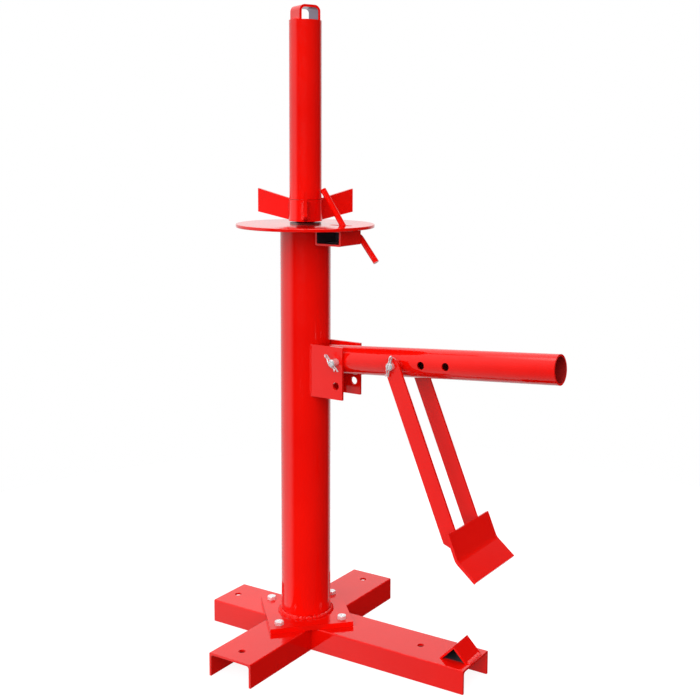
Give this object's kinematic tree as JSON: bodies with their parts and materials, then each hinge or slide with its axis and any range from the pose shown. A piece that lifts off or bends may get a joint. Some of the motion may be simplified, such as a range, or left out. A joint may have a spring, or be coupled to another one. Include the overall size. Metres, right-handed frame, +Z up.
{
  "type": "bead breaker",
  "caption": "Floor stand for changing tyres by hand: a wheel disc with a screw-down centring cone on a column, and a lever that presses a hinged shoe on to the tyre's bead.",
  "frame": {"origin": "on the column's axis at floor level", "axes": "+Z up; +X along the long beam and the lever, away from the column; the short legs lie along Y"},
  "size_m": [0.6062, 0.39, 1.0185],
  "materials": {
    "red_paint": "gloss",
    "zinc": "bright zinc plate",
    "steel": "oiled"
  },
  "bodies": {
    "stand": {"long_beam": "red_paint", "front_leg": "red_paint", "rear_leg": "red_paint", "rest_angle": "red_paint", "rest_weld": "red_paint", "post_plate": "red_paint", "plate_bolts": "zinc", "plate_washers": "zinc", "plate_nuts": "zinc", "column_tube": "red_paint", "foot_weld": "red_paint", "bracket_plate_front": "red_paint", "bracket_plate_rear": "red_paint", "bracket_welds": "red_paint", "pivot_pin": "zinc", "pivot_clip": "zinc", "wheel_disc": "red_paint", "disc_weld": "red_paint", "rod_sleeve": "red_paint", "sleeve_end": "red_paint", "column_nut": "steel", "thrust_washer": "steel"},
    "lock_rod": {"lock_rod": "red_paint"},
    "cone": {"cone_collar": "red_paint", "cone_blade_1": "red_paint", "cone_blade_2": "red_paint", "cone_blade_3": "red_paint", "cone_welds": "red_paint"},
    "post": {"post_spindle": "steel", "post_plug": "steel", "post_tube": "red_paint", "post_cap": "red_paint", "post_loop": "red_paint"},
    "lever": {"lever_tube": "red_paint", "strap_pin": "zinc", "strap_clip": "zinc"},
    "breaker_arm": {"strap_front": "red_paint", "strap_rear": "red_paint", "shoe": "red_paint", "shoe_welds": "red_paint"}
  },
  "joints": [
    {"name": "lever_swing", "type": "hinge", "parent": "stand", "child": "lever", "pos_m": [0.0775, 0, 0.4705], "axis": [0, 1, 0], "range_deg": [-70, 0]},
    {"name": "shoe_swing", "type": "hinge", "parent": "lever", "child": "breaker_arm", "pos_m": [0.18504, 0, 0.47802], "axis": [0, 1, 0], "range_deg": [-40, 35]},
    {"name": "cone_rise", "type": "slide", "parent": "stand", "child": "cone", "axis": [0, 0, 1], "range_m": [0, 0.0601]},
    {"name": "post_turn", "type": "hinge", "parent": "cone", "child": "post", "pos_m": [0, 0, 0.7], "axis": [0, 0, 1], "range_deg": [0, 3600]},
    {"name": "rod_tilt", "type": "hinge", "parent": "stand", "child": "lock_rod", "pos_m": [0.0792, 0, 0.664], "axis": [0, 1, 0], "range_deg": [0, 34]}
  ],
  "couplings": [
    {"joint": "cone_rise", "follows": "post_turn", "m_per_rad": 0.00095493}
  ]
}
